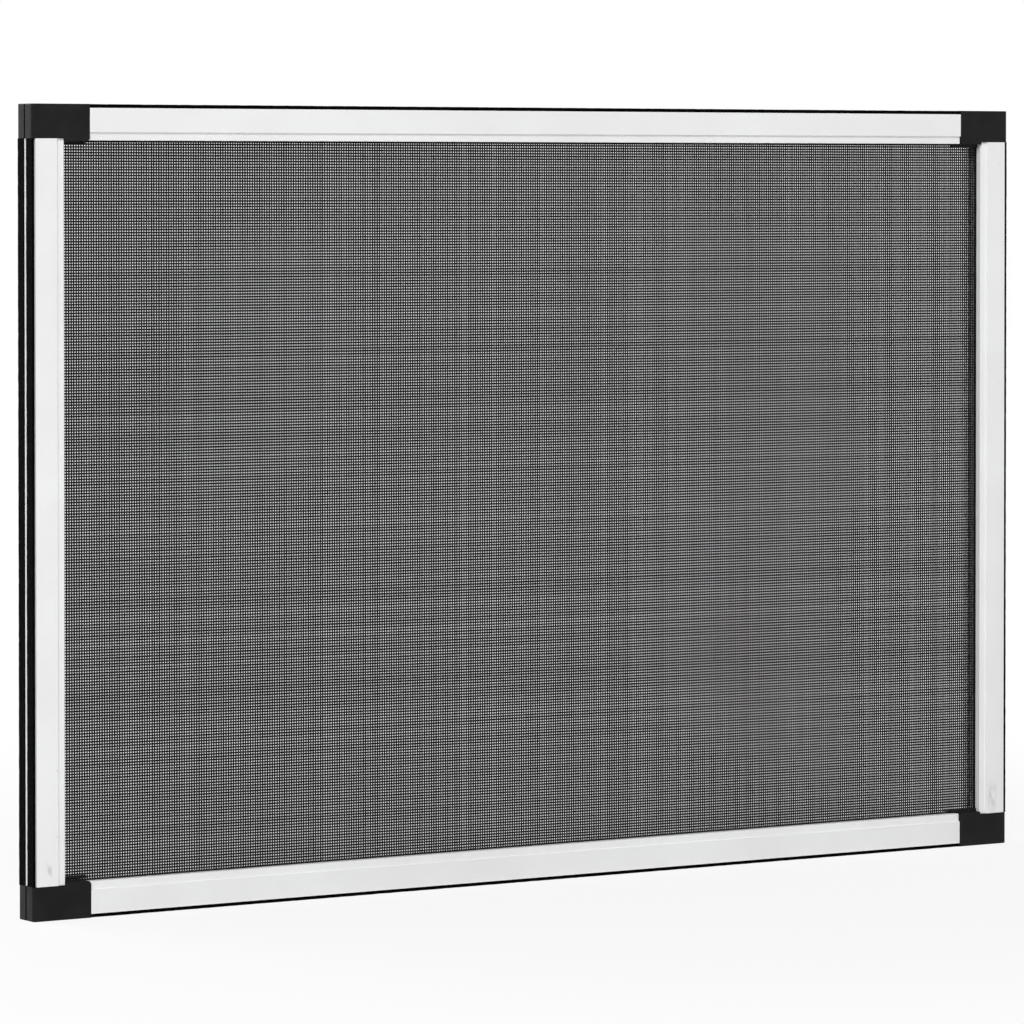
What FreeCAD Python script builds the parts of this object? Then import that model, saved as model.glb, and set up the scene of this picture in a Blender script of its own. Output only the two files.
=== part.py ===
# Extendable window insect screen, shown closed.
# Two equal frames stand face to face, and the rear one slides sideways along the front one.
# All lengths are in millimetres. +X runs along the rails, +Y from the front face to the rear,
# and +Z up. The origin lies under the middle of the closed screen.

import FreeCAD, Part
import os
import Sketcher
from types import SimpleNamespace

SIZES = {
    # One frame
    "frame_width": 750,
    "frame_height": 500,
    "frame_depth": 9.2,
    "frame_gap": 1.6,
    "fit_gap": 0.3,
    # Extruded profile: face, inner lip and walls
    "profile_width": 20,
    "lip_width": 5,
    "face_step": 1.2,
    "lip_depth": 5.1,
    "wall": 1,
    # Slot for the brush seal, in the outer edge
    "slot_wall": 1.1,
    "slot_lip": 0.9,
    "slot_lip_reach": 1,
    "slot_depth": 1.6,
    # Flange that guards the brush on the side of the other frame
    "flange_thickness": 1,
    "flange_setback": 0.8,
    # Guide track, in the side that faces the other frame
    "track_width": 8,
    "track_mouth": 3.6,
    "track_depth": 2,
    "track_lip": 1,
    # Groove that holds the mesh
    "groove_width": 3,
    "groove_wall": 1.6,
    "groove_side": 1.4,
    "groove_floor": 2,
    # Brush seal
    "pile_proud": 2.4,
    "pile_inset": 0.7,
    "backing_thickness": 1.2,
    "brush_play": 0.2,
    # Corner piece
    "corner_reach": 40,
    "corner_margin": 0.4,
    "corner_step": 1.2,
    "corner_chamfer": 1.5,
    "corner_round": 2.5,
    "corner_ease": 0.6,
    "key_length": 25,
    "key_play": 0.15,
    "key_lead": 1,
    "barb_play": 0.05,
    "barb_length": 2.5,
    "barb_pitch": 6,
    "long_tab_reach": 4,
    "long_tab_height": 1.9,
    "short_tab_gap": 5,
    "short_tab_height": 1,
    "tab_thickness": 2,
    # Guide hook and the wall that stops it
    "stop_wall": 3,
    "hook_reach": 29.7,
    # Mesh and its spline
    "hem_thickness": 0.8,
    "hem_show": 1.2,
    "mesh_thickness": 0.3,
    "tuck_thickness": 0.3,
    "ridge_width": 0.8,
    "mesh_gap": 10,
    "spline_play": 0.1,
}

GAP_COLUMNS = 13
GAP_ROWS = 9
RIDGES_PER_GAP = 4
BARBS_PER_KEY = 3

TINY = 1e-4

doc = FreeCAD.newDocument("ExtendableScreen")
sheet = doc.addObject("Spreadsheet::Sheet", "Sizes")
for row, (name, value) in enumerate(SIZES.items(), start=1):
    sheet.set(f"A{row}", name)
    sheet.set(f"B{row}", str(value))
    sheet.setAlias(f"B{row}", name)
doc.recompute()


class Length:
    """A length that keeps its value together with the formula that binds it to the sheet."""

    def __init__(self, value, formula):
        self.value = value
        self.formula = formula

    def joined(self, sign, other, value):
        formula = other.formula if isinstance(other, Length) else str(other)
        return Length(value, f"({self.formula} {sign} {formula})")

    def __add__(self, other):
        return self.joined("+", other, self.value + number(other))

    def __sub__(self, other):
        return self.joined("-", other, self.value - number(other))

    def __mul__(self, factor):
        return self.joined("*", factor, self.value * factor)

    def __truediv__(self, divisor):
        return self.joined("/", divisor, self.value / divisor)


def number(length):
    return length.value if isinstance(length, Length) else length


size = SimpleNamespace(**{name: Length(value, f"Sizes.{name}") for name, value in SIZES.items()})
ZERO = size.frame_width * 0

# Distances from the plane of the brush tips, inwards
outer_face = size.pile_proud
slot_mouth_end = outer_face + size.slot_lip
slot_end = slot_mouth_end + size.slot_depth
lip_edge = outer_face + size.profile_width
step_line = lip_edge - size.lip_width
groove_inner = lip_edge - size.groove_wall
groove_outer = groove_inner - size.groove_width
chamber_outer = slot_end + size.wall
chamber_inner = groove_outer - size.groove_side
track_centre = (chamber_outer + chamber_inner) / 2
corner_height = lip_edge - size.corner_step
cover_edge = lip_edge + size.corner_margin
hem_outer = groove_inner - size.tuck_thickness
hem_inner = lip_edge + size.hem_show
spline_centre = (groove_outer + hem_outer) / 2
spline_radius = (size.groove_width - size.tuck_thickness) / 2 - size.spline_play

# Depths behind the frame's own outer face
slot_front = size.slot_wall
slot_back = size.frame_depth - size.slot_wall
mouth_front = slot_front + size.slot_lip_reach
mouth_back = slot_back - size.slot_lip_reach
flange_front = size.frame_depth - size.flange_thickness
track_mouth_start = size.frame_depth - size.track_lip
track_floor = track_mouth_start - size.track_depth
chamber_back = track_floor - size.wall
groove_bottom = size.face_step + size.groove_floor
lip_back = size.face_step + size.lip_depth
hem_back = lip_back + size.hem_thickness
spline_depth = groove_bottom + size.spline_play + spline_radius

# Lengths and places along the frame
half_width = size.frame_width / 2
front_plane = ZERO - size.frame_depth - size.frame_gap / 2
rail_length = size.frame_width - size.corner_reach * 2
stile_length = size.frame_height - corner_height * 2


def origin_plane(body, role):
    return next(item for item in body.Origin.OriginFeatures if item.Role == role)


def new_sketch(body, name, role, offset=ZERO):
    sketch = body.newObject("Sketcher::SketchObject", name)
    sketch.AttachmentSupport = [(origin_plane(body, role), "")]
    sketch.MapMode = "FlatFace"
    sketch.setExpression("AttachmentOffset.Base.z", offset.formula)
    return sketch


def draw(sketch, corners):
    """Draw a closed outline, with each corner bound to its two lengths."""
    first = sketch.GeometryCount
    count = len(corners)
    points = [FreeCAD.Vector(x.value, y.value, 0) for x, y in corners]
    lines = [Part.LineSegment(points[i], points[(i + 1) % count]) for i in range(count)]
    sketch.addGeometry(lines, False)
    rules = []
    bound = []
    for index, corner in enumerate(corners):
        line = first + index
        rules.append(Sketcher.Constraint("Coincident", line, 2, first + (index + 1) % count, 1))
        for kind, axis, length in (("DistanceX", -2, corner[0]), ("DistanceY", -1, corner[1])):
            if length is ZERO:
                rules.append(Sketcher.Constraint("PointOnObject", line, 1, axis))
            else:
                bound.append((sketch.ConstraintCount + len(rules), length.formula))
                rules.append(Sketcher.Constraint(kind, line, 1, length.value))
    sketch.addConstraint(rules)
    for index, formula in bound:
        sketch.setExpression(f"Constraints[{index}]", formula)


def rectangle(low_x, high_x, low_y, high_y):
    return [(low_x, low_y), (high_x, low_y), (high_x, high_y), (low_x, high_y)]


def extrude(body, kind, name, sketch, length, reverse=False):
    feature = body.newObject(f"PartDesign::{kind}", name)
    feature.Profile = sketch
    feature.Reversed = reverse
    feature.setExpression("Length", length.formula)
    return feature


def place(item, x, z, degrees, turned):
    """Stand a piece in its frame. The rear frame is the front one turned half round."""
    sign = -1 if turned else 1
    rotation = FreeCAD.Rotation(FreeCAD.Vector(0, 1, 0), degrees)
    if turned:
        rotation = FreeCAD.Rotation(FreeCAD.Vector(0, 0, 1), 180).multiply(rotation)
    item.Placement = FreeCAD.Placement(FreeCAD.Vector(), rotation)
    item.setExpression("Placement.Base.x", (x * sign).formula)
    item.setExpression("Placement.Base.y", (front_plane * sign).formula)
    item.setExpression("Placement.Base.z", z.formula)


def profile(node, length):
    """Extruded rail or stile: depth runs along X of the sketch, inwards along Y."""
    body = doc.addObject("PartDesign::Body", node)
    section = new_sketch(body, "profile_section", "YZ_Plane")
    track_low = track_centre - size.track_width / 2
    track_high = track_centre + size.track_width / 2
    mouth_low = track_centre - size.track_mouth / 2
    mouth_high = track_centre + size.track_mouth / 2
    face_and_lip = [
        (ZERO, outer_face),
        (ZERO, step_line),
        (size.face_step, step_line),
        (size.face_step, lip_edge),
        (lip_back, lip_edge),
    ]
    groove = [
        (lip_back, groove_inner),
        (groove_bottom, groove_inner),
        (groove_bottom, groove_outer),
        (size.frame_depth, groove_outer),
    ]
    track = [
        (size.frame_depth, mouth_high),
        (track_mouth_start, mouth_high),
        (track_mouth_start, track_high),
        (track_floor, track_high),
        (track_floor, track_low),
        (track_mouth_start, track_low),
        (track_mouth_start, mouth_low),
        (size.frame_depth, mouth_low),
    ]
    flange = [
        (size.frame_depth, size.flange_setback),
        (flange_front, size.flange_setback),
        (flange_front, outer_face),
    ]
    slot = [
        (mouth_back, outer_face),
        (mouth_back, slot_mouth_end),
        (slot_back, slot_mouth_end),
        (slot_back, slot_end),
        (slot_front, slot_end),
        (slot_front, slot_mouth_end),
        (mouth_front, slot_mouth_end),
        (mouth_front, outer_face),
    ]
    draw(section, face_and_lip + groove + track + flange + slot)
    draw(section, rectangle(size.wall, chamber_back, chamber_outer, chamber_inner))
    extrude(body, "Pad", "profile_length", section, length)
    return body


def brush(node, length):
    """Brush seal: a woven backing that slides in the slot, and its flared pile."""
    body = doc.addObject("PartDesign::Body", node)
    section = new_sketch(body, "brush_section", "YZ_Plane")
    back = slot_mouth_end + size.brush_play
    backing_end = back + size.backing_thickness
    tips_back = size.frame_depth - size.pile_inset
    pile = [
        (size.pile_inset, ZERO),
        (tips_back, ZERO),
        (mouth_back - size.brush_play, outer_face),
        (mouth_back - size.brush_play, back),
    ]
    backing = [
        (slot_back - size.brush_play, back),
        (slot_back - size.brush_play, backing_end),
        (slot_front + size.brush_play, backing_end),
        (slot_front + size.brush_play, back),
    ]
    root = [
        (mouth_front + size.brush_play, back),
        (mouth_front + size.brush_play, outer_face),
    ]
    draw(section, pile + backing + root)
    extrude(body, "Pad", "brush_length", section, length)
    return body


def spline(node, length):
    """Round cord that wedges the mesh in its groove, one length to each side."""
    body = doc.addObject("PartDesign::Body", node)
    section = new_sketch(body, "spline_section", "YZ_Plane")
    centre = FreeCAD.Vector(spline_depth.value, spline_centre.value, 0)
    section.addGeometry(Part.Circle(centre, FreeCAD.Vector(0, 0, 1), spline_radius.value), False)
    section.addConstraint([
        Sketcher.Constraint("DistanceX", 0, 3, spline_depth.value),
        Sketcher.Constraint("DistanceY", 0, 3, spline_centre.value),
        Sketcher.Constraint("Radius", 0, spline_radius.value),
    ])
    for index, measure in enumerate((spline_depth, spline_centre, spline_radius)):
        section.setExpression(f"Constraints[{index}]", measure.formula)
    extrude(body, "Pad", "spline_length", section, length)
    return body


def edge_names(feature, test):
    """Names of the feature's edges whose two ends both pass the test."""
    edges = enumerate(feature.Shape.Edges, start=1)
    return [f"Edge{index}" for index, edge in edges if all(test(end.Point) for end in edge.Vertexes)]


def ease(body, kind, name, base, measure, length, test):
    """Fillet or chamfer the base's edges that pass the test."""
    eased = body.newObject(f"PartDesign::{kind}", name)
    eased.Base = (base, edge_names(base, test))
    eased.setExpression(measure, length.formula)
    doc.recompute()
    return eased


def corner_cover(body):
    """Cover block: low under the stile, level with the lip beside it, with eased outer edges."""
    cover_face = new_sketch(body, "cover_face", "XZ_Plane")
    draw(cover_face, [
        (ZERO, ZERO),
        (size.corner_reach, ZERO),
        (size.corner_reach, cover_edge - size.corner_chamfer),
        (size.corner_reach - size.corner_chamfer, cover_edge),
        (lip_edge, cover_edge),
        (lip_edge, corner_height),
        (ZERO, corner_height),
    ])
    cover = extrude(body, "Pad", "cover", cover_face, size.frame_depth, reverse=True)
    doc.recompute()
    rounded = ease(body, "Fillet", "side_round", cover, "Radius", size.corner_round,
                   lambda end: abs(end.x) < TINY and abs(end.y) < TINY)
    ease(body, "Fillet", "end_ease", rounded, "Radius", size.corner_ease,
         lambda end: abs(end.y) < TINY and abs(end.z) < TINY)


def corner_keys(body):
    """Keys that push into the hollow of the rail and of the stile, with a lead-in and barbs."""
    low = chamber_outer + size.key_play
    high = chamber_inner - size.key_play
    front = size.wall + size.key_play
    back = chamber_back - size.key_play
    barb_back = chamber_back - size.barb_play
    rail_end = size.corner_reach + size.key_length
    stile_end = corner_height + size.key_length
    rail_section = new_sketch(body, "rail_key_section", "YZ_Plane", size.corner_reach)
    draw(rail_section, rectangle(front, back, low, high))
    rail_key = extrude(body, "Pad", "rail_key", rail_section, size.key_length)
    doc.recompute()
    ease(body, "Chamfer", "rail_key_lead", rail_key, "Size", size.key_lead,
         lambda end: abs(end.x - rail_end.value) < TINY)
    stile_section = new_sketch(body, "stile_key_section", "XY_Plane", corner_height)
    draw(stile_section, rectangle(low, high, front, back))
    stile_key = extrude(body, "Pad", "stile_key", stile_section, size.key_length)
    doc.recompute()
    ease(body, "Chamfer", "stile_key_lead", stile_key, "Size", size.key_lead,
         lambda end: abs(end.z - stile_end.value) < TINY)
    rail_barbs = new_sketch(body, "rail_barb_outline", "XY_Plane", low)
    stile_barbs = new_sketch(body, "stile_barb_outline", "YZ_Plane", low)
    for index in range(BARBS_PER_KEY):
        start = size.barb_length + size.barb_pitch * index
        step = size.corner_reach + start
        draw(rail_barbs, [(step, back), (step + size.barb_length, back), (step, barb_back)])
        step = corner_height + start
        draw(stile_barbs, [(back, step), (barb_back, step), (back, step + size.barb_length)])
    extrude(body, "Pad", "rail_barbs", rail_barbs, high - low)
    extrude(body, "Pad", "stile_barbs", stile_barbs, high - low)


def corner_seat(body, tab_end, tab_height):
    """Tab over the mesh corner, seat for the hem, and the groove that carries the spline round."""
    tab_edge = cover_edge + tab_height
    tab = new_sketch(body, "tab_outline", "XZ_Plane", size.tab_thickness - lip_back)
    draw(tab, rectangle(lip_edge, tab_end, cover_edge, tab_edge))
    extrude(body, "Pad", "tab", tab, size.tab_thickness, reverse=True)
    seat = new_sketch(body, "hem_seat_outline", "XZ_Plane", ZERO - lip_back)
    seat_end = size.corner_reach + size.long_tab_reach
    draw(seat, rectangle(groove_outer, seat_end, groove_outer, tab_edge))
    extrude(body, "Pocket", "hem_seat", seat, size.frame_depth - lip_back)
    groove = new_sketch(body, "corner_groove_outline", "XZ_Plane", ZERO - groove_bottom)
    draw(groove, [
        (groove_outer, groove_outer),
        (size.corner_reach, groove_outer),
        (size.corner_reach, groove_inner),
        (groove_inner, groove_inner),
        (groove_inner, tab_edge),
        (groove_outer, tab_edge),
    ])
    extrude(body, "Pocket", "corner_groove", groove, size.frame_depth - groove_bottom)


def guide_section(sketch, start, neck, head, mouth_half, width_half):
    """T-shaped outline of the guide: neck from start to neck, head from there to head."""
    draw(sketch, [
        (start, track_centre - mouth_half),
        (neck, track_centre - mouth_half),
        (neck, track_centre - width_half),
        (head, track_centre - width_half),
        (head, track_centre + width_half),
        (neck, track_centre + width_half),
        (neck, track_centre + mouth_half),
        (start, track_centre + mouth_half),
    ])


def channel_corner(node):
    """Corner piece that carries on the rail's guide track as far as its stop wall."""
    body = doc.addObject("PartDesign::Body", node)
    corner_cover(body)
    corner_keys(body)
    corner_seat(body, size.corner_reach - size.short_tab_gap, size.short_tab_height)
    section = new_sketch(body, "channel_section", "YZ_Plane", size.stop_wall)
    guide_section(section, size.frame_depth, track_mouth_start, track_floor,
                  size.track_mouth / 2, size.track_width / 2)
    extrude(body, "Pocket", "channel", section, size.corner_reach - size.stop_wall, reverse=True)
    return body


def hook_corner(node):
    """Corner piece with the guide hook that runs in the other frame's track."""
    body = doc.addObject("PartDesign::Body", node)
    corner_cover(body)
    corner_keys(body)
    corner_seat(body, size.corner_reach + size.long_tab_reach, size.long_tab_height)
    hook_start = size.stop_wall + size.fit_gap
    section = new_sketch(body, "hook_section", "YZ_Plane", hook_start)
    other_face = size.frame_depth + size.frame_gap
    neck_end = other_face + size.track_lip + size.fit_gap
    head_end = other_face + size.track_lip + size.track_depth - size.fit_gap
    guide_section(section, size.frame_depth, neck_end, head_end,
                  size.track_mouth / 2 - size.fit_gap, size.track_width / 2 - size.fit_gap)
    extrude(body, "Pad", "hook", section, size.hook_reach - hook_start)
    return body


def mirrored_corner(node, source):
    """The same corner piece at the other end of the stile."""
    mirror = doc.addObject("Part::Mirroring", node)
    mirror.Source = source
    mirror.Normal = FreeCAD.Vector(0, 0, 1)
    mirror.setExpression("Base.z", (size.frame_height / 2).formula)
    return mirror


def block(low_x, high_x, low_y, high_y, low_z, high_z):
    corner = FreeCAD.Vector(low_x, low_y, low_z)
    return Part.makeBox(high_x - low_x, high_y - low_y, high_z - low_z, corner)


def upright_face(low_x, high_x, low_z, high_z, depth):
    points = [
        FreeCAD.Vector(low_x, depth, low_z),
        FreeCAD.Vector(high_x, depth, low_z),
        FreeCAD.Vector(high_x, depth, high_z),
        FreeCAD.Vector(low_x, depth, high_z),
    ]
    return Part.makePolygon(points + points[:1])


def middles(start, end, count):
    pitch = (end - start) / count
    return [start + (index + 0.5) * pitch for index in range(count)]


def mesh_shape():
    """Mesh: a thin wall with through gaps and raised threads, its hem and the tucked edges."""
    width = size.frame_width.value
    height = size.frame_height.value
    inner = hem_inner.value
    outer = hem_outer.value
    front = lip_back.value
    back = hem_back.value
    half_wall = size.mesh_thickness.value / 2
    wall_front = (front + back) / 2 - half_wall
    wall_back = (front + back) / 2 + half_wall
    half_gap = size.mesh_gap.value / 2
    wires = [upright_face(inner, width - inner, inner, height - inner, wall_front)]
    for x in middles(inner, width - inner, GAP_COLUMNS):
        for z in middles(inner, height - inner, GAP_ROWS):
            wires.append(upright_face(x - half_gap, x + half_gap, z - half_gap, z + half_gap,
                                      wall_front))
    sheet_wall = Part.makeFace(wires, "Part::FaceMakerBullseye")
    sheet_wall = sheet_wall.extrude(FreeCAD.Vector(0, wall_back - wall_front, 0))
    hem = block(outer, width - outer, front, back, outer, height - outer)
    hem = hem.cut(block(inner, width - inner, front, back, inner, height - inner))
    half_ridge = size.ridge_width.value / 2
    threads = []
    for x in middles(inner, width - inner, GAP_COLUMNS * RIDGES_PER_GAP):
        threads.append(block(x - half_ridge, x + half_ridge, front, wall_front,
                             inner, height - inner))
    for z in middles(inner, height - inner, GAP_ROWS * RIDGES_PER_GAP):
        threads.append(block(inner, width - inner, wall_back, back,
                             z - half_ridge, z + half_ridge))
    tuck_front = groove_bottom.value + size.spline_play.value
    tuck_inner = groove_inner.value
    long_end = size.corner_reach.value
    short_end = cover_edge.value
    tucks = [
        block(long_end, width - long_end, tuck_front, front, outer, tuck_inner),
        block(long_end, width - long_end, tuck_front, front, height - tuck_inner, height - outer),
        block(outer, tuck_inner, tuck_front, front, short_end, height - short_end),
        block(width - tuck_inner, width - outer, tuck_front, front, short_end, height - short_end),
    ]
    return sheet_wall.fuse([hem] + threads + tucks).removeSplitter()


def mesh_panel(node, shape, turned):
    panel = doc.addObject("Part::Feature", node)
    panel.Shape = shape
    place(panel, ZERO - half_width, ZERO, 0, turned)
    return panel


def build_frame(prefix, turned, woven):
    """One frame of seventeen pieces. Turned half round, its left side becomes the right one."""
    left, right = ("right", "left") if turned else ("left", "right")
    top = size.frame_height
    rail_start = half_width - size.corner_reach
    spline_start = half_width - groove_outer - size.spline_play
    sides = [
        (profile, "bottom_rail", ZERO - rail_start, ZERO, 0, rail_length),
        (profile, "top_rail", rail_start, top, 180, rail_length),
        (profile, f"{left}_stile", ZERO - half_width, top - corner_height, 90, stile_length),
        (profile, f"{right}_stile", half_width, corner_height, -90, stile_length),
        (brush, "bottom_brush", ZERO - rail_start, ZERO, 0, rail_length),
        (brush, "top_brush", rail_start, top, 180, rail_length),
        (brush, f"{left}_brush", ZERO - half_width, top - corner_height, 90, stile_length),
        (brush, f"{right}_brush", half_width, corner_height, -90, stile_length),
        (spline, "bottom_spline", ZERO - spline_start, ZERO, 0, spline_start * 2),
        (spline, "top_spline", spline_start, top, 180, spline_start * 2),
        (spline, f"{left}_spline", ZERO - half_width, top - corner_height, 90, stile_length),
        (spline, f"{right}_spline", half_width, corner_height, -90, stile_length),
    ]
    pieces = []
    for make, node, x, z, degrees, length in sides:
        piece = make(f"{prefix}_{node}", length)
        place(piece, x, z, degrees, turned)
        pieces.append(piece)
    channel = channel_corner(f"{prefix}_bottom_{left}_corner")
    place(channel, ZERO - half_width, ZERO, 0, turned)
    hook = hook_corner(f"{prefix}_top_{right}_corner")
    place(hook, half_width, top, 180, turned)
    pieces += [
        channel,
        mirrored_corner(f"{prefix}_top_{left}_corner", channel),
        hook,
        mirrored_corner(f"{prefix}_bottom_{right}_corner", hook),
        mesh_panel(f"{prefix}_mesh", woven, turned),
    ]
    return pieces


def write(pieces):
    """Check every object of the document and every piece, then write one file a piece."""
    doc.recompute()
    failed = [item.Label for item in doc.Objects if {"Invalid", "Error"} & set(item.State)]
    if failed:
        raise ValueError(f"objects that failed: {failed}")
    for piece in pieces:
        shape = piece.Shape
        if shape.isNull() or not shape.isValid() or len(shape.Solids) != 1:
            raise ValueError(f"{piece.Label} is not one valid solid")
    os.makedirs("parts", exist_ok=True)
    for piece in pieces:
        piece.Shape.exportStep(f"parts/{piece.Label}.step")


woven = mesh_shape()
write(build_frame("front", False, woven) + build_frame("rear", True, woven))
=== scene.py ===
import math

import bpy
import numpy as np
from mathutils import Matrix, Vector


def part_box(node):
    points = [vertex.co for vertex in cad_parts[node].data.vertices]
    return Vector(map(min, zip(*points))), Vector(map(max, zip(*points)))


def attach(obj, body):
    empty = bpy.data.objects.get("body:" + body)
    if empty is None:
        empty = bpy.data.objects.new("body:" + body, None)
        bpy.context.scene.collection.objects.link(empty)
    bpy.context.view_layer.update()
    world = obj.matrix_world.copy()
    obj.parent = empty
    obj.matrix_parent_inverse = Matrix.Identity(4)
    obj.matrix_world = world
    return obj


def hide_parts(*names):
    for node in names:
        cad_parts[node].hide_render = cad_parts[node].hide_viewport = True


MM = 0.001
SEED = 7
ACROSS, OUT, UP = (1, 0, 0), (0, 1, 0), (0, 0, 1)
WHITE = (1.0, 1.0, 1.0, 1.0)

# The two frames, the sides of each, and whether inwards from a side is up or down its axis
FRAMES = ("front", "rear")
LEVELS = ("top", "bottom")
UPRIGHTS = ("left", "right")
SIDES = LEVELS + UPRIGHTS
INWARDS = {"top": -1, "bottom": 1, "left": 1, "right": -1}

# Insect mesh: pitch and width of its threads, the spans of each, and how unevenly they lie
THREAD_PITCH = 1.76 * MM
THREAD_WIDTH = 0.69 * MM
THREAD_SPANS = 10
THREAD_DRIFT = 0.02 * MM
THREAD_STRAY = 0.025 * MM
THREAD_SPREAD = 0.05
TUBE_SIDES = 6

# Across and upwards: how far each mesh is stretched, and where its threads lie within their pitch.
# The rear one is pulled a little tighter, so its threads lie further apart.
PITCH_STRETCH = {"front": (1.0, 1.0), "rear": (1.00204, 1.00219)}
THREAD_SHARE = {"front": (0.0, 0.0), "rear": (0.666, 0.654)}

# Woven edge of the mesh, dark, which also stands as painted shade along the lip: how far it shows
# past the lip on the two sides of each frame that keep it. It has a bead against the lip, and the
# other sides only the edge tucked in the groove.
WOVEN_EDGE_AND_SHADE = {
    "front": {"top": 1.15 * MM, "right": 0.8 * MM},
    "rear": {"top": 1.15 * MM, "left": 0.8 * MM},
}
HEM_THICKNESS = 0.8 * MM
TUCK_THICKNESS = 0.3 * MM
BEAD_RADIUS = 0.48 * MM
BEAD_SET = 0.25 * MM
BEAD_PROUD = 0.45 * MM
BEAD_WAVE = 0.04 * MM
BEAD_SPANS = 40

# Brush seals: backing tape, dense core of the pile, and its single bristles
BACKING_WIDTH = 6.6 * MM
BACKING_THICKNESS = 1.2 * MM
PILE_FLARE = 1.6 * MM
CORE_MARGIN = 0.2 * MM
CORE_BACK = 0.08 * MM
CORE_WAVE = 0.06 * MM
CORE_SPAN = 3 * MM
BRISTLE_PITCH = 0.6 * MM
BRISTLE_ROWS = 10
BRISTLE_WIDTH = 0.5 * MM
BRISTLE_LENGTH = 2.4 * MM
BRISTLE_SHORTFALL = 0.4 * MM
BRISTLE_LEAN = 0.3 * MM
BRISTLE_STRAY = 0.2 * MM

# Edges of the rigid pieces: how wide and in how many steps they are rounded, how close two points
# are to be welded, and the angles in degrees up to which faces are one and from which an edge is
# rounded
METAL_EDGE = 0.18 * MM
PLASTIC_EDGE = 0.25 * MM
EDGE_STEPS = 2
WELD_REACH = 0.002 * MM
FLAT_ANGLE = 1
EDGE_ANGLE = 35

# Painted shade, soft grey patches on the front stiles: the middle of each, how far it reaches,
# and how strong it is
SHADE_PATCHES = (
    ((-364.5 * MM, -10 * MM, 30 * MM), (3 * MM, 4 * MM, 9 * MM), 0.8),
    ((363 * MM, -10 * MM, 32 * MM), (5 * MM, 4 * MM, 13 * MM), 0.8),
)

# Ranges of a noise over which a tone changes, a sheen or fleck does, a speck of the powder coat
# shows, and a patch of painted shade does
TONE_RANGE = (0.35, 0.65)
SHEEN_RANGE = (0.3, 0.7)
SPECK_RANGE = (0.80, 0.84)
SHADE_PATCH_RANGE = (0.42, 0.62)

# How strong the specks are, and from which share of its reach a patch of painted shade fades
SPECK_STRENGTH = 0.6
SHADE_PATCH_CORE = 0.2

# Distance between the ribs of the spline cord
RIB_PITCH = 1.1 * MM

# Studio: strength of the surroundings, and each lamp's place, target, size and power
DAYLIGHT = 0.26
LAMPS = {
    "key": ((-5.2, -6.2, 6.6), (0, 0, 0.25), 4.0, 750),
    "fill": ((0.4, -3.4, 0.4), (0, 0, 0.2), 1.6, 20),
    "back": ((-1.4, 3.4, 2.4), (0, 0, 0.25), 2.2, 90),
    "rim": ((-2.6, 1.6, 1.2), (-0.3, 0, 0.25), 1.6, 30),
}

# Floor: half its width, its grey, the distances from its middle between which it turns plain white,
# and how white it is before them
FLOOR_REACH = 60
FLOOR_GREY = 0.7
FADE_START = 0.35
FADE_END = 1.1
FADE_LEAST = 0.86

# Camera: its place, its tilt down and its turn to the right in degrees, its lens and sensor in
# millimetres, the shift of its picture, and how far it sees
CAMERA_PLACE = (-1.9694, -3.0160, 0.4556)
CAMERA_TILT = 1.3465
CAMERA_TURN = 32.866
CAMERA_LENS = 195.73
CAMERA_SENSOR = 36
CAMERA_SHIFT = -0.2
CAMERA_REACH = 200

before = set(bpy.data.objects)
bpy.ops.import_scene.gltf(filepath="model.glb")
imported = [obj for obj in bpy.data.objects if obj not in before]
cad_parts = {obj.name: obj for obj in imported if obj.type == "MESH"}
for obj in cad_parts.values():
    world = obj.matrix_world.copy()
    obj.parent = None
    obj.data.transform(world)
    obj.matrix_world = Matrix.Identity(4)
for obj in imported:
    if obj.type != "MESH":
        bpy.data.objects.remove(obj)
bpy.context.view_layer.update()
rng = np.random.default_rng(SEED)


def new_object(name, vertices, faces, materials):
    """A mesh object of the scene with a slot for each material."""
    data = bpy.data.meshes.new(name)
    data.from_pydata(vertices, [], faces)
    for material in materials:
        data.materials.append(material)
    made = bpy.data.objects.new(name, data)
    bpy.context.scene.collection.objects.link(made)
    return made


def grey(level, tint=0.0):
    """A grey, made bluer by the tint, or warmer if the tint is negative."""
    return (level - tint, level, level + tint, 1.0)


class Nodes:
    """The node tree of a material or world, with short ways to add nodes and feed them."""

    def __init__(self, owner):
        owner.use_nodes = True
        self.tree = owner.node_tree

    def feed(self, socket, value):
        if isinstance(value, bpy.types.NodeSocket):
            self.tree.links.new(value, socket)
        else:
            socket.default_value = value

    def node(self, kind, inputs=(), **settings):
        made = self.tree.nodes.new(kind)
        for name, value in settings.items():
            setattr(made, name, value)
        for socket, value in dict(inputs).items():
            self.feed(made.inputs[socket], value)
        return made

    def math(self, operation, first, second=0.0):
        return self.node("ShaderNodeMath", {0: first, 1: second}, operation=operation).outputs[0]

    def vector(self, operation, first, second=(0.0, 0.0, 0.0)):
        made = self.node("ShaderNodeVectorMath", {0: first, 1: second}, operation=operation)
        return made.outputs["Value" if operation == "LENGTH" else "Vector"]

    def span(self, factor, low, high, new_low=0, new_high=1, **settings):
        """The factor's stretch from low to high, spread from new_low to new_high."""
        ends = {"From Min": low, "From Max": high, "To Min": new_low, "To Max": new_high}
        return self.node("ShaderNodeMapRange", {"Value": factor, **ends}, **settings).outputs["Result"]

    def mix_shaders(self, factor, first, second):
        return self.node("ShaderNodeMixShader", {0: factor, 1: first, 2: second}).outputs[0]

    def white_rays(self):
        """A factor that is one for the rays that show the background white."""
        rays = self.node("ShaderNodeLightPath").outputs
        seen = self.math("MAXIMUM", rays["Is Camera Ray"], rays["Is Glossy Ray"])
        return self.math("MAXIMUM", seen, rays["Is Transmission Ray"])


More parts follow.
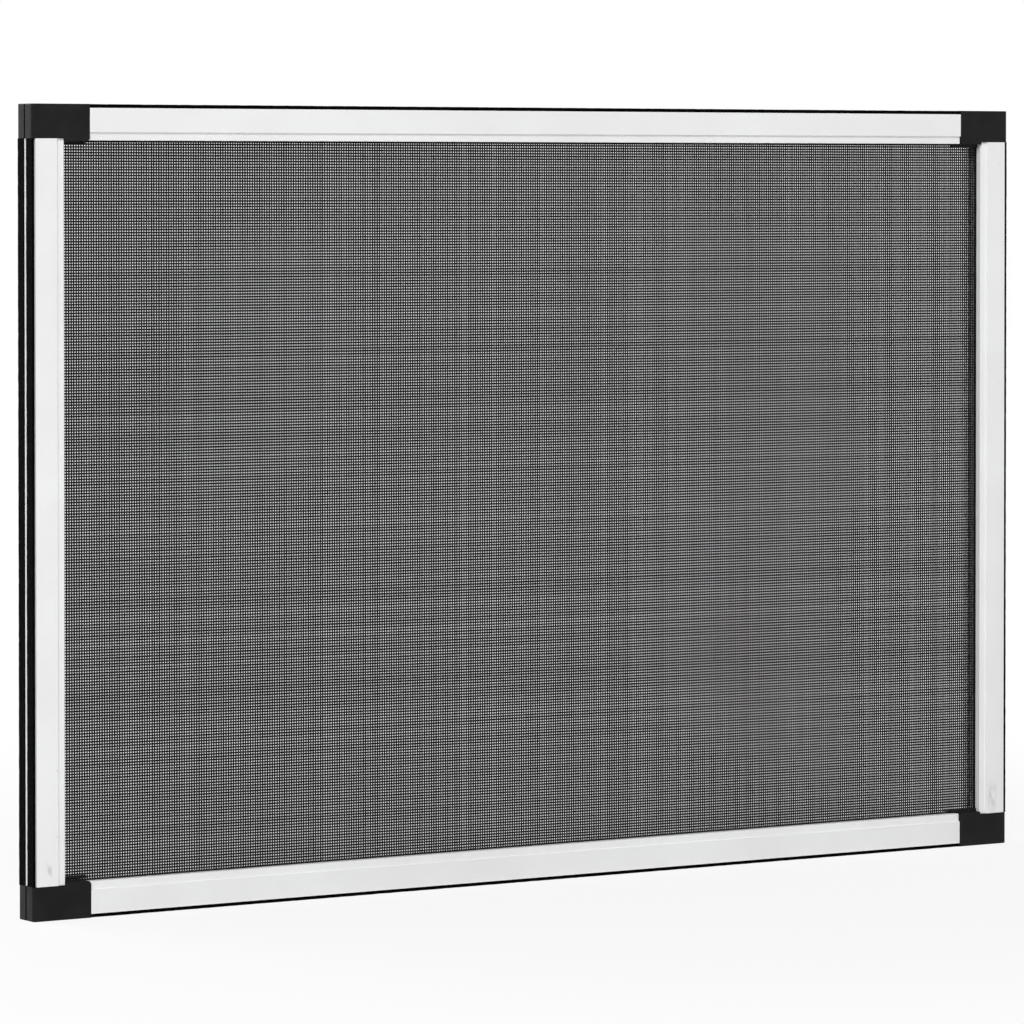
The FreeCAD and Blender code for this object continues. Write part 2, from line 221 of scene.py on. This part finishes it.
class Look(Nodes):
    """A material under way: its shader, and the noises, mixes and bumps of its finish."""

    def __init__(self, name, **settings):
        self.material = bpy.data.materials.new(name)
        super().__init__(self.material)
        self.shader = self.tree.nodes["Principled BSDF"]
        for socket, value in settings.items():
            self.shader.inputs[socket.replace("_", " ")].default_value = value
        self.place = self.node("ShaderNodeTexCoord").outputs["Object"]

    def set(self, socket, value):
        self.feed(self.shader.inputs[socket], value)

    def noise(self, scale, detail=2.0, stretch=None):
        place = self.vector("MULTIPLY", self.place, stretch) if stretch else self.place
        inputs = {"Vector": place, "Scale": scale, "Detail": detail}
        return self.node("ShaderNodeTexNoise", inputs).outputs["Fac"]

    def mix(self, factor, first, second):
        """A colour between two. Input 0 is the node's factor, and its other numbers are for colours."""
        return self.node("ShaderNodeMix", {0: factor, 6: first, 7: second}, data_type="RGBA").outputs[2]

    def bump(self, height, distance, strength):
        inputs = {"Height": height, "Distance": distance, "Strength": strength}
        self.set("Normal", self.node("ShaderNodeBump", inputs).outputs["Normal"])


def powder_coat():
    """White powder coat: faint cloudiness, fine orange peel, small grey specks, and patches of painted
    shade.
    """
    look = Look("white_powder_coat", IOR=1.5)
    cloud = look.span(look.noise(scale=14, detail=3), *TONE_RANGE)
    tone = look.mix(cloud, grey(0.80), grey(0.845, 0.004))
    speck = look.span(look.noise(scale=420, detail=1), *SPECK_RANGE, 0, SPECK_STRENGTH)
    tone = look.mix(speck, tone, grey(0.42, -0.02))
    # Painted shade: soft grey patches on the front stiles, broken up by a stretched noise
    shade_patch_noise = look.span(look.noise(scale=330, detail=3, stretch=(1.0, 1.0, 0.35)), *SHADE_PATCH_RANGE)
    for middle, reach, strength in SHADE_PATCHES:
        near = look.vector("SUBTRACT", look.place, middle)
        away = look.vector("LENGTH", look.vector("DIVIDE", near, reach))
        painted_shade = look.math("MULTIPLY", look.span(away, SHADE_PATCH_CORE, 1, strength, 0), shade_patch_noise)
        tone = look.mix(painted_shade, tone, grey(0.5))
    look.set("Base Color", tone)
    look.set("Roughness", look.span(look.noise(scale=90, detail=3), *SHEEN_RANGE, 0.36, 0.5))
    look.bump(look.noise(scale=1500), distance=0.03 * MM, strength=0.5)
    return look.material


def moulded_plastic():
    """Black moulded plastic with an eroded grain and slightly uneven sheen."""
    look = Look("black_moulded_plastic", Specular_IOR_Level=0.13)
    cloud = look.span(look.noise(scale=60, detail=3), *TONE_RANGE)
    look.set("Base Color", look.mix(cloud, grey(0.004), grey(0.008)))
    look.set("Roughness", look.span(look.noise(scale=150, detail=3), *SHEEN_RANGE, 0.42, 0.56))
    look.bump(look.noise(scale=2600, detail=3), distance=0.05 * MM, strength=0.6)
    return look.material


def pile_fibre():
    """Black pile: matt fibres, with painted shade between the tufts."""
    look = Look("black_pile", Roughness=0.85, Specular_IOR_Level=0.015)
    tuft = look.noise(scale=700)
    # Painted shade: the colour is darkest where the bump is lowest, between the tufts
    look.set("Base Color", look.mix(look.span(tuft, *TONE_RANGE), grey(0.001), grey(0.0045)))
    look.bump(tuft, distance=0.3 * MM, strength=0.8)
    return look.material


def woven_tape():
    """Backing tape of the brush and hem of the mesh: a tight black weave."""
    look = Look("black_tape", Roughness=0.7, Specular_IOR_Level=0.08)
    cells = look.node("ShaderNodeTexVoronoi", {"Vector": look.place, "Scale": 1600.0})
    weave = cells.outputs["Distance"]
    look.set("Base Color", look.mix(weave, grey(0.008), grey(0.003)))
    look.bump(weave, distance=0.1 * MM, strength=0.7)
    return look.material


def ribbed_rubber():
    """White rubber cord with fine ribs across its length, and painted shade in the grooves between
    them.
    """
    look = Look("white_rubber", Roughness=0.6, Specular_IOR_Level=0.35)
    parts = look.node("ShaderNodeSeparateXYZ", {0: look.place}).outputs
    along = look.math("ADD", parts["X"], parts["Z"])
    rib = look.math("SINE", look.math("MULTIPLY", along, 2 * math.pi / RIB_PITCH))
    height = look.span(rib, -1, 1)
    # Painted shade: the grooves between the ribs are greyer than their crests
    look.set("Base Color", look.mix(height, grey(0.74), grey(0.84)))
    look.bump(height, distance=0.15 * MM, strength=0.8)
    return look.material


def coated_thread():
    """Coated glass thread that dips under every second thread it crosses, with painted shade where it
    dips.
    """
    look = Look("dark_thread", Roughness=0.55, Specular_IOR_Level=0.15)
    weave = look.node("ShaderNodeAttribute", attribute_name="weave").outputs["Vector"]
    parts = look.node("ShaderNodeSeparateXYZ", {0: weave}).outputs
    wave = look.math("COSINE", look.math("MULTIPLY", parts["X"], math.pi))
    height = look.span(look.math("MULTIPLY", wave, parts["Y"]), -1, 1)
    fleck = look.span(look.noise(scale=900), *SHEEN_RANGE, 0.8, 1.2)
    # Painted shade where the thread dips under the one it crosses, with random flecks of tone
    look.set("Base Color", look.mix(look.math("MULTIPLY", height, fleck), grey(0.004), grey(0.014)))
    look.bump(height, distance=0.12 * MM, strength=0.6)
    return look.material


def repaint(node, material):
    """Give a rigid node its material, and return it."""
    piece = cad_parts[node]
    piece.data.materials.clear()
    piece.data.materials.append(material)
    return piece


def soften(node, width, material):
    """Repaint a rigid node and round its edges with modifiers, which leave its own mesh alone."""
    piece = repaint(node, material)
    weld = piece.modifiers.new("weld", "WELD")
    weld.merge_threshold = WELD_REACH
    flat = piece.modifiers.new("flat", "DECIMATE")
    flat.decimate_type = "DISSOLVE"
    flat.angle_limit = math.radians(FLAT_ANGLE)
    edge = piece.modifiers.new("edge", "BEVEL")
    edge.width = width
    edge.segments = EDGE_STEPS
    edge.limit_method = "ANGLE"
    edge.angle_limit = math.radians(EDGE_ANGLE)
    edge.harden_normals = True
    even = piece.modifiers.new("even", "WEIGHTED_NORMAL")
    even.keep_sharp = True


def member(prefix, turn):
    """Name of the rail or stile on one side of a frame."""
    return f"{prefix}_{turn}_rail" if turn in LEVELS else f"{prefix}_{turn}_stile"


def outer_edge(low, high, turn):
    """Where a box ends on one side of a frame, given its lowest and highest corner."""
    return {"top": high.z, "bottom": low.z, "left": low.x, "right": high.x}[turn]


def laid(across, depth, along, upright):
    """Points of a thing that runs along Z if it is upright, and else along X."""
    parts = (across, depth, along) if upright else (along, depth, across)
    return np.stack(np.broadcast_arrays(*parts), -1)


def shifted(faces, start):
    """The faces with their point numbers counted from start."""
    return [[corner + start for corner in face] for face in faces]


def skin(index):
    """Walls and end caps of closed prisms, from the point numbers of each one's rings."""
    turned = np.roll(index, -1, axis=2)
    walls = np.stack([index[:, :-1], turned[:, :-1], turned[:, 1:], index[:, 1:]], -1).reshape(-1, 4)
    caps = np.concatenate([index[:, 0, ::-1], index[:, -1]])
    return walls.tolist() + caps.tolist()


def tubes(paths, radii, across):
    """Closed prisms along many paths at once, as vertices and faces."""
    angles = np.arange(TUBE_SIDES) * 2 * math.pi / TUBE_SIDES
    ring = np.outer(np.cos(angles), across) + np.outer(np.sin(angles), OUT)
    vertices = paths[:, :, None, :] + radii[:, None, None, None] * ring
    index = np.arange(vertices[..., 0].size).reshape(vertices.shape[:3])
    return vertices.reshape(-1, 3), skin(index)


def thread_set(reach, run, pitch, offset, plane, upright):
    """Threads of one direction: their numbers, paths, radii, and how far along each point lies."""
    low, high = reach
    order = np.arange(math.ceil((low - offset) / pitch), math.floor((high - offset) / pitch) + 1)
    count = len(order)
    drift = rng.normal(0, 1, (count, THREAD_SPANS + 1)).cumsum(1)
    drift = THREAD_DRIFT * (drift - drift.mean(1, keepdims=True)) / math.sqrt(THREAD_SPANS)
    across = offset + order[:, None] * pitch + rng.normal(0, THREAD_STRAY, (count, 1)) + drift
    along = np.broadcast_to(np.linspace(*run, THREAD_SPANS + 1), across.shape)
    radii = THREAD_WIDTH / 2 * (1 + rng.normal(0, THREAD_SPREAD, count))
    return order, laid(across, plane, along, upright), radii, along


def thread_mesh(prefix, material):
    """The mesh's threads, the upright ones first, from edge to edge of its node."""
    low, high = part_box(f"{prefix}_mesh")
    plane = high.y - HEM_THICKNESS / 2 if prefix == "front" else low.y + HEM_THICKNESS / 2
    pitches = [THREAD_PITCH * stretch for stretch in PITCH_STRETCH[prefix]]
    offsets = [share * pitch for share, pitch in zip(THREAD_SHARE[prefix], pitches)]
    reaches = [
        (low.x + THREAD_WIDTH, high.x - THREAD_WIDTH),
        (low.z + THREAD_WIDTH, high.z - THREAD_WIDTH),
    ]
    vertices, faces, weave = [], [], []
    for way, crossing, across, sign in ((0, 1, ACROSS, 1), (1, 0, UP, -1)):
        order, paths, radii, along = thread_set(
            reaches[way], reaches[crossing], pitches[way], offsets[way], plane, upright=way == 0)
        points, walls = tubes(paths, radii, across)
        faces += shifted(walls, sum(len(part) for part in vertices))
        vertices.append(points)
        phase = np.repeat(((along - offsets[crossing]) / pitches[crossing]).ravel(), TUBE_SIDES)
        parity = np.repeat(sign * (1 - 2 * (order % 2)), (THREAD_SPANS + 1) * TUBE_SIDES)
        weave.append(np.stack([phase, parity, np.zeros_like(phase)], -1))
    screen = new_object(f"{prefix}_screen", np.concatenate(vertices), faces, [material])
    stored = screen.data.attributes.new("weave", "FLOAT_VECTOR", "POINT")
    stored.data.foreach_set("vector", np.concatenate(weave).astype(np.float32).ravel())
    return screen


def box_points(low, high):
    """The eight corners of a box."""
    return [(x, y, z) for x in (low[0], high[0]) for y in (low[1], high[1]) for z in (low[2], high[2])]


def box_faces(start):
    """Faces of a box whose eight points, in the order of box_points, begin at start."""
    faces = [(0, 1, 3, 2), (4, 6, 7, 5), (0, 4, 5, 1), (2, 3, 7, 6), (0, 2, 6, 4), (1, 5, 7, 3)]
    return shifted(faces, start)


def bead(turn, low, high, edge, plane, outwards):
    """Round bead of the woven edge, pressed against the lip and standing proud of the mesh; dark, it is
    partly painted shade along the lip.
    """
    wave = rng.normal(0, BEAD_WAVE, (2, BEAD_SPANS + 1))
    upright = turn in UPRIGHTS
    start, end = (low.z, high.z) if upright else (low.x, high.x)
    along = np.linspace(start + edge, end - edge, BEAD_SPANS + 1)
    rest = outer_edge(low, high, turn) + INWARDS[turn] * edge
    across = rest + INWARDS[turn] * (BEAD_SET + np.abs(wave[0]))
    depth = plane + outwards * (BEAD_PROUD + wave[1])
    paths = laid(across, depth, along, upright)[None]
    return tubes(paths, np.array([BEAD_RADIUS]), ACROSS if upright else UP)


def hem(prefix, material):
    """Edge of the mesh: tucked in the groove all round, and woven closed on two sides as a dark strip
    that is partly painted shade along the lip.
    """
    low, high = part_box(f"{prefix}_mesh")
    inner_plane, outer_plane = (high.y, low.y) if prefix == "front" else (low.y, high.y)
    outwards = math.copysign(1, outer_plane - inner_plane)
    lip_plane = inner_plane + outwards * HEM_THICKNESS
    lip_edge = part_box(f"{prefix}_bottom_rail")[1].z - low.z
    vertices, faces = [], []
    for turn in SIDES:
        # The woven edge is dark and also stands as painted shade along the lip
        woven = WOVEN_EDGE_AND_SHADE[prefix].get(turn)
        strips = [(TUCK_THICKNESS, lip_plane, outer_plane)]
        if woven:
            strips.append((lip_edge + woven, inner_plane, lip_plane))
        for width, near_plane, far_plane in strips:
            start_corner = [low.x, min(near_plane, far_plane), low.z]
            end_corner = [high.x, max(near_plane, far_plane), high.z]
            axis = 0 if turn in UPRIGHTS else 2
            if INWARDS[turn] > 0:
                end_corner[axis] = start_corner[axis] + width
            else:
                start_corner[axis] = end_corner[axis] - width
            faces += box_faces(len(vertices))
            vertices += box_points(start_corner, end_corner)
        if woven:
            points, walls = bead(turn, low, high, lip_edge, lip_plane, outwards)
            faces += shifted(walls, len(vertices))
            vertices += points.tolist()
    return new_object(f"{prefix}_hem", vertices, faces, [material])


class Strip:
    """Local directions of a brush: along it, into the frame's depth, and inwards from its tips."""

    def __init__(self, prefix, turn):
        low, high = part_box(f"{prefix}_{turn}_brush")
        self.upright = turn in UPRIGHTS
        self.start, self.end = (low.z, high.z) if self.upright else (low.x, high.x)
        self.tips = outer_edge(low, high, turn)
        self.inwards = INWARDS[turn]
        self.height = (high.x - low.x) if self.upright else (high.z - low.z)
        self.middle = (low.y + high.y) / 2
        self.half = (high.y - low.y) / 2

    def place(self, along, depth, inwards):
        """World points of local ones: depth from the brush's middle, inwards from its tips."""
        return laid(self.tips + self.inwards * inwards, self.middle + depth, along, self.upright)


def brush_core(strip):
    """Dense part of the pile, whose tips wave a little, and its backing tape.

    Returns their points and faces, and for each wall whether it is tape.
    """
    back = strip.height - BACKING_THICKNESS
    root_half = strip.half - PILE_FLARE
    tip_half = strip.half - CORE_MARGIN
    count = int((strip.end - strip.start) / CORE_SPAN) + 1
    along = np.linspace(strip.start, strip.end, count)
    free = np.ones(count)
    free[[0, -1]] = 0
    pile_side = [
        (-root_half, back, 0),
        (-root_half, BRISTLE_LENGTH, 0),
        (-tip_half, CORE_BACK, 1),
        (tip_half, CORE_BACK, 1),
        (root_half, BRISTLE_LENGTH, 0),
    ]
    tape_side = [
        (root_half, back, 0),
        (BACKING_WIDTH / 2, back, 0),
        (BACKING_WIDTH / 2, strip.height, 0),
        (-BACKING_WIDTH / 2, strip.height, 0),
        (-BACKING_WIDTH / 2, back, 0),
    ]
    outline = pile_side + tape_side
    runs = []
    for depth, inwards, loose in outline:
        swing, rise = rng.normal(0, CORE_WAVE, (2, count)) * free * loose
        runs.append(strip.place(along, depth + swing, inwards + np.abs(rise)))
    size = len(outline)
    index = np.arange(count * size).reshape(1, count, size)
    on_tape = np.tile(np.arange(size) >= len(pile_side), count - 1)
    return np.stack(runs, 1).reshape(-1, 3), skin(index), on_tape


def bristles(strip):
    """Tapered bristles in rows, three-sided, each with its own length and lean."""
    count = int((strip.end - strip.start) / BRISTLE_PITCH)
    total = count * BRISTLE_ROWS
    rows = np.linspace(-1, 1, BRISTLE_ROWS)
    tip_depth = np.tile(rows * (strip.half - CORE_MARGIN / 2), count)
    root_depth = np.tile(rows * (strip.half - PILE_FLARE), count)
    along = strip.start + (np.arange(count) + 0.5) * (strip.end - strip.start) / count
    along = np.repeat(along, BRISTLE_ROWS) + rng.uniform(-0.5, 0.5, total) * BRISTLE_PITCH
    lean = rng.normal(0, BRISTLE_LEAN, total).clip(-2 * BRISTLE_LEAN, 2 * BRISTLE_LEAN)
    tip_along = (along + lean).clip(strip.start, strip.end)
    tip_depth = (tip_depth + rng.normal(0, BRISTLE_STRAY, total)).clip(-strip.half, strip.half)
    tip_inwards = rng.uniform(0, 1, total) ** 2 * BRISTLE_SHORTFALL
    tips = strip.place(tip_along, tip_depth, tip_inwards)
    angle = rng.uniform(0, 2 * math.pi, total)
    corners = []
    for turn in range(3):
        bearing = angle + turn * 2 * math.pi / 3
        corner_along = (along + np.cos(bearing) * BRISTLE_WIDTH / 2).clip(strip.start, strip.end)
        corner_depth = root_depth + np.sin(bearing) * BRISTLE_WIDTH / 2
        corners.append(strip.place(corner_along, corner_depth, BRISTLE_LENGTH))
    points = np.stack(corners + [tips], 1)
    index = np.arange(total * 4).reshape(total, 4)
    faces = np.concatenate([index[:, face] for face in ([0, 1, 3], [1, 2, 3], [2, 0, 3], [0, 2, 1])])
    return points.reshape(-1, 3), faces.tolist()


def brush(prefix, turn, pile, tape):
    """One brush seal: tape and pile in one object."""
    strip = Strip(prefix, turn)
    core, core_faces, on_tape = brush_core(strip)
    hair, hair_faces = bristles(strip)
    faces = core_faces + shifted(hair_faces, len(core))
    made = new_object(f"{prefix}_{turn}_pile", np.concatenate([core, hair]), faces, [pile, tape])
    slots = np.zeros(len(faces), dtype=np.int32)
    slots[:len(on_tape)] = on_tape
    made.data.polygons.foreach_set("material_index", slots)
    return made


def dress(prefix, looks):
    """Give one frame its looks: materials on the rigid nodes, new pieces for mesh and brushes."""
    body = f"{prefix}_frame"
    for turn in SIDES:
        soften(member(prefix, turn), METAL_EDGE, looks["metal"])
        repaint(f"{prefix}_{turn}_spline", looks["rubber"])
        pile = brush(prefix, turn, looks["pile"], looks["tape"])
        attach(pile, body)
        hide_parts(f"{prefix}_{turn}_brush")
    for level in LEVELS:
        for turn in UPRIGHTS:
            soften(f"{prefix}_{level}_{turn}_corner", PLASTIC_EDGE, looks["plastic"])
    screen = thread_mesh(prefix, looks["thread"])
    edge = hem(prefix, looks["tape"])
    for piece in (screen, edge):
        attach(piece, body)
    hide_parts(f"{prefix}_mesh")


def lamp(name, place, target, size, power):
    """Square lamp that shines from its place towards its target."""
    data = bpy.data.lights.new(name, "AREA")
    data.shape = "SQUARE"
    data.size = size
    data.energy = power
    made = bpy.data.objects.new(name, data)
    bpy.context.scene.collection.objects.link(made)
    made.location = place
    made.rotation_mode = "QUATERNION"
    made.rotation_quaternion = (Vector(target) - Vector(place)).to_track_quat("-Z", "Y")


def studio():
    """White surroundings that light the object evenly."""
    world = bpy.data.worlds.new("studio")
    bpy.context.scene.world = world
    nodes = Nodes(world)
    nodes.tree.nodes.clear()
    lights = nodes.node("ShaderNodeBackground", {"Color": WHITE, "Strength": DAYLIGHT}).outputs[0]
    shown = nodes.node("ShaderNodeBackground", {"Color": WHITE}).outputs[0]
    mixed = nodes.mix_shaders(nodes.white_rays(), lights, shown)
    nodes.node("ShaderNodeOutputWorld", {"Surface": mixed})


def floor():
    """Pale floor that takes the object's shadow, and turns plain white away from it."""
    material = bpy.data.materials.new("pale_floor")
    nodes = Nodes(material)
    nodes.tree.nodes.clear()
    away = nodes.vector("LENGTH", nodes.node("ShaderNodeTexCoord").outputs["Object"])
    fade = nodes.span(away, FADE_START, FADE_END, FADE_LEAST, 1, interpolation_type="SMOOTHSTEP")
    lit = nodes.node("ShaderNodeBsdfDiffuse", {"Color": grey(FLOOR_GREY)}).outputs[0]
    plain = nodes.node("ShaderNodeEmission", {"Color": WHITE}).outputs[0]
    factor = nodes.math("MULTIPLY", fade, nodes.white_rays())
    nodes.node("ShaderNodeOutputMaterial", {"Surface": nodes.mix_shaders(factor, lit, plain)})
    corners = [(FLOOR_REACH * x, FLOOR_REACH * y, 0) for x, y in ((-1, -1), (1, -1), (1, 1), (-1, 1))]
    made = new_object("floor", corners, [(0, 1, 2, 3)], [material])


def camera():
    """Long lens in front and to the left of the screen, tilted slightly down."""
    data = bpy.data.cameras.new("camera")
    data.lens = CAMERA_LENS
    data.sensor_width = CAMERA_SENSOR
    data.shift_y = CAMERA_SHIFT
    data.clip_end = CAMERA_REACH
    made = bpy.data.objects.new("camera", data)
    bpy.context.scene.collection.objects.link(made)
    made.location = CAMERA_PLACE
    made.rotation_euler = (math.radians(90 - CAMERA_TILT), 0, math.radians(-CAMERA_TURN))
    bpy.context.scene.camera = made


looks = {
    "metal": powder_coat(),
    "plastic": moulded_plastic(),
    "pile": pile_fibre(),
    "tape": woven_tape(),
    "rubber": ribbed_rubber(),
    "thread": coated_thread(),
}
for prefix in FRAMES:
    dress(prefix, looks)

studio()
floor()
for name, (place, target, size, power) in LAMPS.items():
    lamp(name, place, target, size, power)
camera()
bpy.context.scene.view_settings.view_transform = "Standard"
